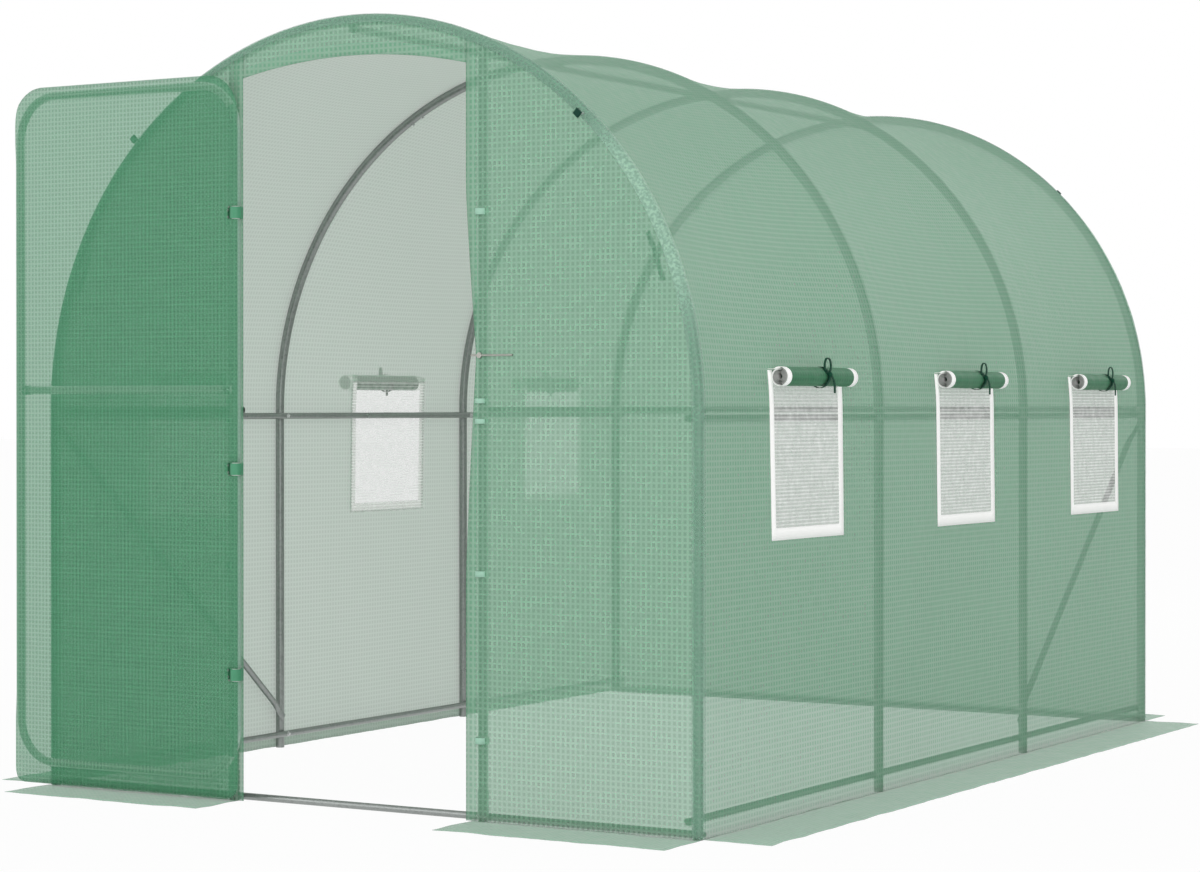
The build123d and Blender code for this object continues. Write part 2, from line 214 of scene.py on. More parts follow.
class FinishSettings(bpy.types.PropertyGroup):
    """Colours and weave of the materials."""

    cloth: tint("Cloth", "Outer face of the cover", (0.032, 0.284, 0.123))
    cloth_thread: tint("Cloth thread", "Strong threads of the outer face", (0.141, 0.427, 0.246))
    door: tint("Door", "Cloth of the door", (0.055, 0.303, 0.144))
    sleeve: tint("Sleeve", "Hem round the door's hinge stile", (0.42, 0.68, 0.54))
    lining: tint("Lining", "Inner face of the cover", (0.86, 0.90, 0.86))
    edge: tint("Edge", "Bands round the two ends of the cover", (0.36, 0.61, 0.48))
    # Painted highlight: the pale colour that the crinkled stretches of the end bands are lightened to.
    edge_painted_highlight: tint("Edge gleam", "Raised creases of the end bands", (0.53, 0.82, 0.64))
    roll: tint("Roll", "Cloth of the rolled flaps", (0.050, 0.185, 0.095))
    tape: tint("Tape", "White tape round the windows", (0.95, 0.955, 0.94))
    # Painted shade: a darker copy of the white tape for the turns inside the rolls.
    painted_shade_tape: tint("Inner tape", "Tape inside the rolled flaps, in the shade", (0.50, 0.50, 0.49))
    mesh: tint("Mesh", "Insect mesh of the windows", (0.80, 0.82, 0.79))
    tie: tint("Tie", "Ties of the rolled flaps", (0.002, 0.050, 0.026))
    steel: tint("Steel", "Zinc of the tubes", (0.30, 0.32, 0.31))
    # Painted light: a lighter copy of the tube zinc for the door's tubes, standing for the light that reaches
    # them through the door's cloth.
    painted_light_door_steel: tint("Door steel", "Zinc of the door's tubes", (0.60, 0.60, 0.59))
    latch: tint("Latch", "Latch on the right post", (0.36, 0.36, 0.33))
    bright: tint("Bright steel", "Bolts and screws", (0.62, 0.63, 0.63))
    plastic: tint("Plastic", "Knobs on the end hoops", (0.004, 0.038, 0.024))
    hinge: tint("Hinge", "Moulded hinges of the door", (0.06, 0.26, 0.14))
    clip: tint("Clip", "Clips that hold the cloth on the posts", (0.32, 0.54, 0.42))
    cover_share: share("Cover share", "How much of the light the plain weave stops", 0.62)
    thread_share: share("Thread share", "How much of the light the strong threads stop", 0.55)
    door_share: share("Door share", "How much of the light the door's weave stops", 0.59)
    door_thread_share: share("Door thread share", "How much the door's strong threads stop", 0.51)
    lining_share: share("Lining share", "How much of the view the lining stops", 0.472)
    lining_thread_share: share("Lining thread share", "How much the lining's strong threads stop", 0.482)
    roll_share: share("Roll share", "How much of the light the rolled weave stops", 0.93)
    roll_thread_share: share("Roll thread share", "How much the rolls' strong threads stop", 0.97)
    hem_share: share("Hem share", "How much of the light the hems stop", 0.70)
    edge_share: share("Edge share", "How much of the light the end bands stop", 0.18)
    lining_glow: share("Lining glow", "Daylight that the lining passes on", 0.18)
    door_glow: share("Door glow", "Daylight that the door's cloth passes on to its tubes", 0.23)
    tape_glow: share("Tape glow", "Daylight that the white tape passes on", 0.22)
    mesh_glow: share("Mesh glow", "Daylight that the insect mesh passes on", 0.26)
    thread_pitch: length("Thread pitch", "Distance between the strong threads", 0.0140)
    door_pitch: length("Door pitch", "Distance between the strong threads of the door", 0.0118)
    mesh_pitch: length("Mesh pitch", "Distance between the strong threads of the mesh", 0.0092)


class StageSettings(bpy.types.PropertyGroup):
    """Camera and light."""

    lens: FloatProperty(name="Lens", description="Focal length in millimetres", default=87.1)
    place: FloatVectorProperty(
        name="Place", description="Where the camera stands", default=(4.257, -7.502, 1.023), unit="LENGTH"
    )
    yaw: rotation("Yaw", "Turn of the camera", 30.53)
    pitch: rotation("Pitch", "Tilt of the camera", -0.345)
    shift: FloatProperty(name="Shift", description="Vertical shift of the frame", default=-0.0106)
    key: FloatProperty(name="Key light", description="Power of the large lamp", default=170.0, unit="POWER")
    fill: share("Fill light", "Power of the lamp on the left, as a part of the key light", 0.45)
    rear: share("Rear light", "Power of the lamp behind, as a part of the key light", 0.30)
    sky: FloatProperty(name="Sky", description="Strength of the light from all round", default=0.64)
    floor_glow: share("Floor glow", "How much of the floor's look is plain white", 0.96)


class TunnelSettings(bpy.types.PropertyGroup):
    """All the settings of the greenhouse."""

    cover: PointerProperty(type=CoverSettings)
    door: PointerProperty(type=DoorSettings)
    window: PointerProperty(type=WindowSettings)
    finish: PointerProperty(type=FinishSettings)
    stage: PointerProperty(type=StageSettings)


def settings():
    return bpy.context.scene.polytunnel


def wave(x, y, seed):
    """Soft noise between -1 and 1 for the folds and ripples of a piece."""
    return noise.noise(Vector((x, y, seed)))


class Shade:
    """A shader socket. Expressions on it add the Math nodes that work them out."""

    def __init__(self, tree, socket=None):
        self.tree = tree
        self.socket = socket

    def wire(self, node, sockets):
        """Gives a node's sockets their values or links."""
        for name, value in sockets.items():
            if isinstance(value, Shade):
                self.tree.links.new(value.socket, node.inputs[name])
            else:
                node.inputs[name].default_value = value

    def node(self, kind, sockets=None, output=0, **choices):
        """Adds a node: its settings first, then its sockets."""
        node = self.tree.nodes.new(kind)
        for name, value in choices.items():
            setattr(node, name, value)
        self.wire(node, sockets or {})
        return Shade(self.tree, node.outputs[output])

    def math(self, operation, *values):
        return self.node("ShaderNodeMath", dict(enumerate(values)), operation=operation)

    def __add__(self, other):
        return self.math("ADD", self, other)

    def __sub__(self, other):
        return self.math("SUBTRACT", self, other)

    def __rsub__(self, other):
        return self.math("SUBTRACT", other, self)

    def __mul__(self, other):
        return self.math("MULTIPLY", self, other)

    def __truediv__(self, other):
        return self.math("DIVIDE", self, other)

    __radd__ = __add__
    __rmul__ = __mul__

    def between(self, low, high):
        """0 below low, 1 above high and smooth between them."""
        return self.node(
            "ShaderNodeMapRange", {0: self, 1: low, 2: high}, interpolation_type="SMOOTHSTEP"
        )

    def blend(self, first, second):
        """The first colour where this is 0, the second where it is 1."""
        return self.node("ShaderNodeMix", {0: self, 6: first, 7: second}, output=2, data_type="RGBA")

    def cloud(self, scale, detail=3.0, dimensions="3D"):
        """Soft noise on these coordinates."""
        sockets = {"Vector": self, "Scale": scale, "Detail": detail}
        return self.node("ShaderNodeTexNoise", sockets, noise_dimensions=dimensions)

    def bump(self, strength, distance):
        """The normal of a surface that this height raises."""
        return self.node("ShaderNodeBump", {"Height": self, "Strength": strength, "Distance": distance})


def opaque(colour):
    return (*colour, 1.0)


def scaled(colour, factor):
    """A lighter or darker colour."""
    return [min(1.0, value * factor) for value in colour]


def start_finish(name):
    """A new material, a shade to begin its expressions with, and its shader node."""
    finish = bpy.data.materials.new(name)
    finish.use_nodes = True
    return finish, Shade(finish.node_tree), finish.node_tree.nodes["Principled BSDF"]


def threads(place, pitch, width):
    """1 on the strong threads that cross a length at the given pitch."""
    cell = place.math("FRACT", place / pitch)
    return (place.math("ABSOLUTE", cell - 0.5) * 2).between(1 - 2 * width, 1 - 0.5 * width)


def flat_map(shade):
    """A piece's own flat map, and its two lengths in metres."""
    flat = shade.node("ShaderNodeTexCoord", output="UV")
    across = shade.node("ShaderNodeSeparateXYZ", {0: flat}, output="X")
    up = shade.node("ShaderNodeSeparateXYZ", {0: flat}, output="Y")
    return flat, across, up


def solid_map(shade):
    """The coordinates of the piece itself, in metres."""
    return shade.node("ShaderNodeTexCoord", output="Object")


def thread_grid(across, up, pitch):
    """The grid of strong threads in the cloth."""
    return across.math("MAXIMUM", threads(across, pitch, 0.36), threads(up, pitch, 0.30))


def weave_face(name, colours, stops, pitch, crinkle_scale, roughness, gloss):
    """A translucent sheet of flat plastic tapes with a grid of stronger threads.

    The colours and the light that is stopped are given for the plain weave and for the threads.
    """
    finish, shade, shader = start_finish(name)
    flat, across, up = flat_map(shade)
    grid = thread_grid(across, up, pitch)
    crinkle = flat.cloud(crinkle_scale, 2.0, "2D")
    shade.wire(
        shader,
        {
            "Base Color": (grid * 0.7 + crinkle * 0.4).blend(opaque(colours[0]), opaque(colours[1])),
            "Roughness": roughness + 0.3 * crinkle,
            "Specular IOR Level": gloss,
            "Alpha": stops[0] + (stops[1] - stops[0]) * grid,
            "Normal": crinkle.bump(0.30, 0.005),
        },
    )
    return finish


def woven_cloth(name, colours, stops, pitch):
    """One layer of the weave."""
    return weave_face(name, colours, stops, pitch, 30.0, 0.36, 0.2)


def hem_cloth(name, colours, share_stopped, pitch):
    """Two layers of the weave sewn together: denser, with the grid still to be seen."""
    stops = (share_stopped, share_stopped - HEM_THREAD_DROP)
    return weave_face(name, colours, stops, pitch, 60.0, 0.30, 0.3)


def cloth_lining(name, colour, stops, glow, pitch):
    """The inner face, which is paler and lets the daylight glow through the weave."""
    finish, shade, shader = start_finish(name)
    flat, across, up = flat_map(shade)
    grid = thread_grid(across, up, pitch)
    shade.wire(
        shader,
        {
            "Base Color": grid.blend(opaque(scaled(colour, 0.86)), opaque(colour)),
            "Roughness": 0.6,
            "Specular IOR Level": 0.0,
            "Alpha": stops[0] + (stops[1] - stops[0]) * grid,
            "Emission Color": opaque(colour),
            "Emission Strength": glow,
        },
    )
    return finish


def edge_band(name, colour, gleam, stops):
    """The band round an end hoop: smooth at the legs and the crown, crinkled between them, with a painted
    highlight on the crinkles.
    """
    finish, shade, shader = start_finish(name)
    flat, across, up = flat_map(shade)
    reach = shade.math("ABSOLUTE", across - GIRTH / 2)
    gathered = reach.between(0.72, 0.95) * (1 - reach.between(1.20, 1.45))
    crease = flat.cloud(120.0, 4.0, "2D")
    # Painted highlight: the crinkled stretch is lightened towards the pale colour and made more opaque where
    # the creases rise.
    bright = (0.55 + 0.45 * crease.between(0.36, 0.68)) * gathered
    shade.wire(
        shader,
        {
            "Base Color": bright.blend(opaque(colour), opaque(gleam)),
            "Roughness": 0.35 + 0.3 * crease,
            "Specular IOR Level": 0.3,
            "Alpha": stops + 0.42 * bright,
            "Normal": crease.bump(0.15, 0.0015),
        },
    )
    return finish


def white_tape(name, colour, glow):
    """White hem tape with a fine rib and a little dirt."""
    finish, shade, shader = start_finish(name)
    flat, across, up = flat_map(shade)
    rib = shade.math("SINE", up * (2 * math.pi / 0.0018))
    dirt = solid_map(shade).cloud(24.0, 5.0)
    shade.wire(
        shader,
        {
            "Base Color": dirt.between(0.55, 0.85).blend(opaque(colour), opaque(scaled(colour, 0.90))),
            "Roughness": 0.55 + 0.2 * dirt,
            "Emission Color": opaque(colour),
            "Emission Strength": glow,
            "Normal": (rib * 0.1 + dirt).bump(0.25, 0.002),
        },
    )
    return finish


def insect_mesh(name, colour, glow):
    """Fine mesh with stronger threads across it, seen through between the threads."""
    finish, shade, shader = start_finish(name)
    flat, across, up = flat_map(shade)
    pitch = settings().finish.mesh_pitch
    bands = threads(up, pitch, 0.34)
    posts = threads(across, pitch / 5, 0.25)
    patches = solid_map(shade).cloud(45.0, 4.0)
    tone = bands * 0.45 + patches * 0.6
    shade.wire(
        shader,
        {
            "Base Color": tone.blend(opaque(scaled(colour, 0.40)), opaque(scaled(colour, 1.5))),
            "Roughness": 0.6 + 0.2 * patches,
            "Alpha": 0.40 + 0.14 * bands + 0.08 * posts + (patches - 0.5) * 0.40,
            "Emission Color": opaque(colour),
            "Emission Strength": glow,
            "Normal": (bands * 0.4 + posts * 0.1).bump(0.4, 0.001),
        },
    )
    return finish


def webbing(name, colour):
    """Flat woven tie."""
    finish, shade, shader = start_finish(name)
    flat, across, up = flat_map(shade)
    twill = shade.math("SINE", (up + across) * (2 * math.pi / 0.0016))
    tone = twill * 0.25 + solid_map(shade).cloud(160.0) * 0.5
    shade.wire(
        shader,
        {
            "Base Color": tone.blend(opaque(colour), opaque(scaled(colour, 2.2))),
            "Roughness": 0.65 + 0.1 * twill,
            "Specular IOR Level": 0.2,
            "Normal": twill.bump(0.5, 0.0006),
        },
    )
    return finish


def zinc_steel(name, colour, roughness, spangle, glow=0.0):
    """Zinc-coated tube with its spangle, dull streaks and a few scuffs; a glow, where one is given, is
    painted light.
    """
    finish, shade, shader = start_finish(name)
    solid = solid_map(shade)
    flakes = shade.node("ShaderNodeTexVoronoi", {"Vector": solid, "Scale": 130.0}, output="Color")
    flake = shade.node("ShaderNodeSeparateColor", {0: flakes})
    dull = solid.cloud(9.0, 5.0)
    scuff = solid.cloud(210.0, 3.0).between(0.62, 0.72)
    tone = flake * 0.6 + dull * 0.5 - scuff * 0.2
    light = scaled(colour, 1 + spangle)
    shade.wire(
        shader,
        {
            "Base Color": tone.blend(opaque(scaled(colour, 1 - spangle)), opaque(light)),
            "Metallic": 0.85 - dull * 0.15,
            "Roughness": roughness + flake * 0.12 + (dull - 0.5) * 0.2 + scuff * 0.1,
            "Emission Color": opaque(light),
            "Emission Strength": glow,
            "Normal": (flake * 0.3 + dull).bump(0.08, 0.002),
        },
    )
    return finish


def moulded_plastic(name, colour, gloss):
    """Moulded plastic with a fine grain."""
    finish, shade, shader = start_finish(name)
    solid = solid_map(shade)
    grain = solid.cloud(420.0, 2.0)
    tone = solid.cloud(40.0, 3.0) * 0.6 + grain * 0.2
    shade.wire(
        shader,
        {
            "Base Color": tone.blend(opaque(colour), opaque(scaled(colour, 1.6))),
            "Roughness": 0.38 + 0.2 * grain,
            "Specular IOR Level": gloss,
            "Normal": grain.bump(0.15, 0.0006),
        },
    )
    return finish


def finish_named(name):
    """A material that the finishes' operator has made."""
    found = bpy.data.materials.get(name)
    if found is None:
        raise RuntimeError(f"the finish {name} has not been made")
    return found


def cloth_finishes():
    """Outer face, inner face and the same two for hems."""
    return [finish_named(name) for name in ("cover_weave", "cover_lining", "cover_hem", "cover_lining")]


def lay_out(across, up, spacing, lines_across=(), lines_up=(), holes=()):
    """A flat sheet, divided along the given lines, with its openings cut out."""
    bm = bmesh.new()
    size = Vector((across[1] - across[0], up[1] - up[0], 0))
    centre = Vector((across[0] + across[1], up[0] + up[1], 0)) / 2
    bmesh.ops.create_grid(
        bm,
        x_segments=max(1, round(size.x / spacing[0])),
        y_segments=max(1, round(size.y / spacing[1])),
        size=0.5,
    )
    bmesh.ops.transform(
        bm, matrix=Matrix.Translation(centre) @ Matrix.Diagonal((size.x, size.y, 1, 1)), verts=bm.verts
    )
    for axis, lines in ((ACROSS, lines_across), (ALONG, lines_up)):
        for line in lines:
            geom = bm.verts[:] + bm.edges[:] + bm.faces[:]
            bmesh.ops.bisect_plane(bm, geom=geom, dist=1e-5, plane_co=axis * line, plane_no=axis)
    for (left, right), (low, high) in holes:
        inside = []
        for face in bm.faces:
            point = face.calc_center_median()
            if left < point.x < right and low < point.y < high:
                inside.append(face)
        bmesh.ops.delete(bm, geom=inside, context="FACES")
    return bm


def hang(bm, place, hem=None, turned=False, flat=None):
    """Moves each point of a flat sheet to its place; hems get their own finish, and the map stays flat."""
    for face in bm.faces:
        face.smooth = True
        point = face.calc_center_median()
        if hem:
            face.material_index = hem(point.x, point.y)
    weave = bm.loops.layers.uv.new("weave")
    laid = {vert: vert.co.copy() for vert in bm.verts}
    for vert in bm.verts:
        vert.co = place(vert.co.x, vert.co.y)
    for face in bm.faces:
        for loop in face.loops:
            loop[weave].uv = flat(loop.vert.co) if flat else laid[loop.vert].xy
    if turned:
        bmesh.ops.reverse_faces(bm, faces=bm.faces[:])
    return bm


def add_piece(bm, name, finishes, body="tunnel", thickness=0.0):
    """Turns a bmesh into a piece of the object that rides on a body."""
    mesh = bpy.data.meshes.new(name)
    bm.to_mesh(mesh)
    bm.free()
    for finish in finishes:
        mesh.materials.append(finish)
    piece = bpy.data.objects.new(name, mesh)
    bpy.context.collection.objects.link(piece)
    if thickness:
        wall = piece.modifiers.new("sheet_thickness", "SOLIDIFY")
        wall.thickness = thickness
        wall.offset = -1.0
        wall.material_offset = 1
    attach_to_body(piece, body)
    return piece


def join(whole, bm):
    """Adds a bmesh to a larger one."""
    part = bpy.data.meshes.new("part")
    bm.to_mesh(part)
    bm.free()
    whole.from_mesh(part)
    bpy.data.meshes.remove(part)


def cut_area(bm):
    return sum(face.calc_area() for face in bm.faces)


def section(run):
    """The cover's outline at a length from the left foot: the point, and the direction outwards."""
    if run < WALL:
        return Vector((-RADIUS, 0, run)), Vector((-1, 0, 0))
    if run > WALL + ARCH:
        return Vector((RADIUS, 0, GIRTH - run)), Vector((1, 0, 0))
    turn = (run - WALL) / RADIUS
    out = Vector((-math.cos(turn), 0, math.sin(turn)))
    return UP * WALL + out * RADIUS, out


def bay_share(along):
    """0 on a hoop and 1 in the middle of a bay."""
    for near, far in zip(HOOP_Y, HOOP_Y[1:]):
        if near <= along <= far:
            part = (along - near) / (far - near)
            return 4 * part * (1 - part)
    return 0.0


def cover_point(along, run, lift=0.0):
    """A point of the cover: slack between the hoops and wrapped round the end hoops."""
    cover = settings().cover
    point, out = section(run)
    over = abs(along) - HOOP_Y[-1]
    if over > 0:
        turn = over / WRAP
        end = math.copysign(HOOP_Y[-1] + (WRAP + lift) * math.sin(turn), along)
        return point + out * ((WRAP + lift) * math.cos(turn) - WRAP) + ALONG * end
    slack = bay_share(along) * min(1.0, min(run, GIRTH - run) / cover.slack_run)
    fold = wave(along * 1.9, run * 1.1, 4.0)
    pucker = wave(along * 7.5, run * 3.2, 9.0)
    depth = cover.sag * slack + cover.wrinkle * (0.5 * fold + 0.16 * pucker) * min(1.0, 1.6 * slack)
    return point - out * (max(depth, 0.0) - lift) + ALONG * along


def run_at(side, height):
    """The length round the cover at which a wall reaches a height."""
    up = height if height <= WALL else WALL + RADIUS * math.asin((height - WALL) / RADIUS)
    return GIRTH - up if side > 0 else up


def window_middles(side):
    """Where the windows of one wall stand along the tunnel."""
    start = corners(f"{side}_window_borders")[0].y + settings().window.width / 2
    return [start + near - HOOP_Y[0] for near in HOOP_Y[:-1]]


def window_span(side, middle_y, inset=0.0):
    """A window's range along the tunnel and round the cover."""
    low, high = corners(f"{side}_window_borders")
    half = settings().window.width / 2 - inset
    runs = sorted((run_at(SIDES[side], low.z + inset), run_at(SIDES[side], high.z - inset)))
    return (middle_y - half, middle_y + half), tuple(runs)


class TUNNEL_OT_finishes(bpy.types.Operator):
    """Make the materials and give the steel, the hinges and the latch theirs"""

    bl_idname = "polytunnel.finishes"
    bl_label = "Finishes"

    def execute(self, context):
        look = settings().finish
        pitch = look.thread_pitch
        cover = (look.cloth, look.cloth_thread)
        door = (look.door, look.cloth_thread)
        roll = (look.roll, scaled(look.roll, 1.3))
        lining_stops = (look.lining_share, look.lining_thread_share)
        woven_cloth("cover_weave", cover, (look.cover_share, look.thread_share), pitch)
        cloth_lining("cover_lining", look.lining, lining_stops, look.lining_glow, pitch)
        hem_cloth("cover_hem", cover, look.hem_share, pitch)
        woven_cloth("door_weave", door, (look.door_share, look.door_thread_share), look.door_pitch)
        hem_cloth("door_hem", door, look.door_share, look.door_pitch)
        hem_cloth("sleeve_hem", (look.sleeve, look.sleeve), look.hem_share, look.door_pitch)
        # The end bands carry a painted highlight on their crinkles.
        edge_band("edge_hem", look.edge, look.edge_painted_highlight, look.edge_share)
        woven_cloth("roll_weave", roll, (look.roll_share, look.roll_thread_share), pitch)
        white_tape("border_tape", look.tape, look.tape_glow)
        # The tape inside the rolls is a darker copy with no glow: painted shade.
        white_tape("painted_shade_tape", look.painted_shade_tape, 0.0)
        insect_mesh("window_screen", look.mesh, look.mesh_glow)
        webbing("tie_webbing", look.tie)
        zinc_steel("tube_zinc", look.steel, 0.30, 0.16)
        # The door's tubes take a lighter copy of the zinc with a glow: painted light.
        zinc_steel("door_zinc_painted_light", look.painted_light_door_steel, 0.36, 0.10, look.door_glow)
        zinc_steel("latch_zinc", look.latch, 0.34, 0.10)
        zinc_steel("bolt_zinc", look.bright, 0.24, 0.10)
        moulded_plastic("knob_plastic", look.plastic, 0.15)
        moulded_plastic("hinge_moulding", look.hinge, 0.4)
        moulded_plastic("clip_plastic", look.clip, 0.3)
        dress = {
            "galvanised_steel": "tube_zinc",
            "bright_steel": "latch_zinc",
            "hinge_plastic": "hinge_moulding",
        }
        for part in frame["record"]["subparts"]:
            if part["material_slot"] in dress:
                # the door's tubes take the lighter zinc with painted light
                name = "door_zinc_painted_light" if part["node"] in DOOR_TUBES else dress[part["material_slot"]]
                mesh = bpy.data.objects[part["node"]].data
                for place in range(len(mesh.materials)):
                    mesh.materials[place] = finish_named(name)
        return {"FINISHED"}


class TUNNEL_OT_cover(bpy.types.Operator):
    """Hang the one long sheet over the hoops, with its window openings"""

    bl_idname = "polytunnel.cover"
    bl_label = "Tunnel cover"

    def execute(self, context):
        cover = settings().cover
        inset = settings().window.cut_inset
        end = HOOP_Y[-1] + WRAP * math.pi / 2
        holes = []
        for side in SIDES:
            holes += [window_span(side, place, inset) for place in window_middles(side)]
        hoop_lines = list(HOOP_Y) + [y + d for y in HOOP_Y for d in (-0.02, 0.02)]
        window_lines = [y for hole in holes[:3] for y in hole[0]]
        bm = lay_out(
            (-end, end),
            (cover.foot_gap, GIRTH - cover.foot_gap),
            (0.028, 0.030),
            hoop_lines + window_lines + [-end + 0.012, end - 0.012],
            [WALL, WALL + ARCH] + [run for hole in (holes[0], holes[3]) for run in hole[1]],
            holes,
        )
        area = cut_area(bm)
        hang(bm, cover_point, turned=True)
        piece = add_piece(bm, "tunnel_cloth", cloth_finishes(), thickness=cover.thickness)
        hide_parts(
            "left_wall_cover",
            "right_wall_cover",
            "left_haunch_cover",
            "right_haunch_cover",
            "crown_cover",
        )
        return {"FINISHED"}


def end_point(side, inner, outer, level):
    """Makes the mapping of an end cloth from an angle and a share of the height to its place."""
    cover = settings().cover
    out = -1 if level < 0 else 1

    def place(turn, part):
        x = END_RADIUS * math.sin(turn)
        top = WALL + END_RADIUS * math.cos(turn)
        z = cover.foot_gap + part * (top - cover.foot_gap)
        if side > 0:
            loose = max(0.0, 1 - (x - DOORWAY) / (POST - DOORWAY))
            reach = abs(z - LATCH) / (cover.pull_over if z > LATCH else cover.pull_under)
            x += cover.latch_pull * loose * max(0.0, 1 - reach) ** 1.2
        belly = math.sin(math.pi * part) * math.sin(math.pi * (turn - inner) / (outer - inner))
        fold = 0.5 + 0.5 * wave(x * 3.1, z * 2.3, 6.0 + level)
        pucker = 0.5 + 0.5 * wave(x * 11.0, z * 6.0, 2.0)
        depth = belly * (cover.end_bulge * fold + cover.end_pucker * pucker)
        return Vector((x, level + out * depth, z))

    return place


def upright(point):
    return (point.x, point.z)


class TUNNEL_OT_ends(bpy.types.Operator):
    """Hang the cloths of the front and of the rear"""

    bl_idname = "polytunnel.ends"
    bl_label = "End cloths"

    def execute(self, context):
        cover = settings().cover
        edge = math.asin(DOORWAY / END_RADIUS)
        inner_hem = math.asin((DOORWAY + cover.hem) / END_RADIUS)
        for side, sign in SIDES.items():
            span = sorted((sign * edge, sign * math.pi / 2))
            bm = lay_out(span, (0, 1), (0.024, 0.018), [sign * inner_hem])
            hang(
                bm,
                end_point(sign, span[0], span[1], FRONT),
                lambda turn, part: 2 if abs(turn) < inner_hem else 0,
                flat=upright,
            )
            area = cut_area(bm)
            piece = add_piece(
                bm, f"front_{side}_cloth", cloth_finishes(), thickness=cover.thickness
            )
            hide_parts(f"front_{side}_cover")

        def header(x, part):
            low = DOORWAY_TOP + cover.header_rise * (1 - (x / DOORWAY) ** 2)
            high = WALL + math.sqrt(END_RADIUS**2 - x**2)
            belly = math.sin(math.pi * part) * math.cos(0.5 * math.pi * x / DOORWAY)
            return Vector((x, FRONT - cover.header_bulge * belly, low + part * (high - low)))

        bm = lay_out((-DOORWAY, DOORWAY), (0, 1), (0.02, 0.1), lines_up=[cover.header_hem])
        hang(bm, header, lambda x, part: 2 if part < cover.header_hem else 0, flat=upright)
        area = cut_area(bm)
        piece = add_piece(bm, "header_cloth", cloth_finishes(), thickness=cover.thickness)
        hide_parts("front_header_cover")
        half = math.pi / 2
        bm = lay_out((-half, half), (0, 1), (0.028, 0.018))
        hang(bm, end_point(0, -half, half, REAR), turned=True, flat=upright)
        area = cut_area(bm)
        piece = add_piece(bm, "rear_cloth", cloth_finishes(), thickness=cover.thickness)
        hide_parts("rear_cover")
        return {"FINISHED"}


class TUNNEL_OT_hems(bpy.types.Operator):
    """Sew the crinkled hems round the two end hoops"""

    bl_idname = "polytunnel.hems"
    bl_label = "End hems"

    def execute(self, context):
        cover = settings().cover
        edge = finish_named("edge_hem")
        lap = cover.edge_lap
        gap = 2 * cover.foot_gap
        turn = WRAP * math.pi / 2
        for end, sign in (("front", -1), ("rear", 1)):

            def place(run, wide):
                crinkle = abs(wave(run * 24.0, wide * 30.0, sign))
                lift = cover.edge_lift + cover.edge_crinkle * crinkle
                if wide < turn + lap:
                    return cover_point(sign * (HOOP_Y[-1] - lap + wide), run, lift)
                point, out = section(run)
                down = wide - turn - lap
                return point - out * (WRAP + down) + ALONG * sign * (HOOP_Y[-1] + WRAP + lift)

            bm = lay_out((gap, GIRTH - gap), (0, turn + 2 * lap), (0.012, 0.0045))
            area = cut_area(bm)
            hang(bm, place, turned=sign < 0)
            piece = add_piece(bm, f"{end}_hem", [edge, edge], thickness=cover.thickness)
        return {"FINISHED"}


class TUNNEL_OT_skirts(bpy.types.Operator):
    """Lay the ground skirts"""

    bl_idname = "polytunnel.skirts"
    bl_label = "Ground skirts"

    def execute(self, context):
        cover = settings().cover
        side_low, side_high = corners("side_skirts")
        front_low, front_high = corners("front_skirts")
        rear_low, rear_high = corners("rear_skirt")
        tucked = RADIUS - SKIRT_TUCK
        inner = DOORWAY + SKIRT_GAP
        side_up = (side_low.y, side_high.y)
        front_up = (front_low.y, front_high.y)
        rear_up = (rear_low.y, rear_high.y)
        plans = (
            ("left", "side_skirts", (side_low.x, -tucked), side_up, "side_base_rails"),
            ("right", "side_skirts", (tucked, side_high.x), side_up, "side_base_rails"),
            ("front_left", "front_skirts", (front_low.x, -inner), front_up, "front_base_rail"),
            ("front_right", "front_skirts", (inner, front_high.x), front_up, "front_base_rail"),
            ("rear", "rear_skirt", (rear_low.x, rear_high.x), rear_up, "rear_base_rail"),
        )

        def place(x, y):
            ripple = abs(wave(x * 6.0, y * 6.0, 1.0)) + 0.4 * abs(wave(x * 17.0, y * 17.0, 5.0))
            return Vector((x, y, cover.skirt_lift + cover.ripple * ripple))

        for name, node, across, up, rail in plans:
            bm = lay_out(across, up, (0.02, 0.02))
            area = cut_area(bm)
            hang(bm, place)
            piece = add_piece(
                bm, f"{name}_skirt_cloth", cloth_finishes(), thickness=cover.thickness
            )
            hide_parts(node)
        return {"FINISHED"}


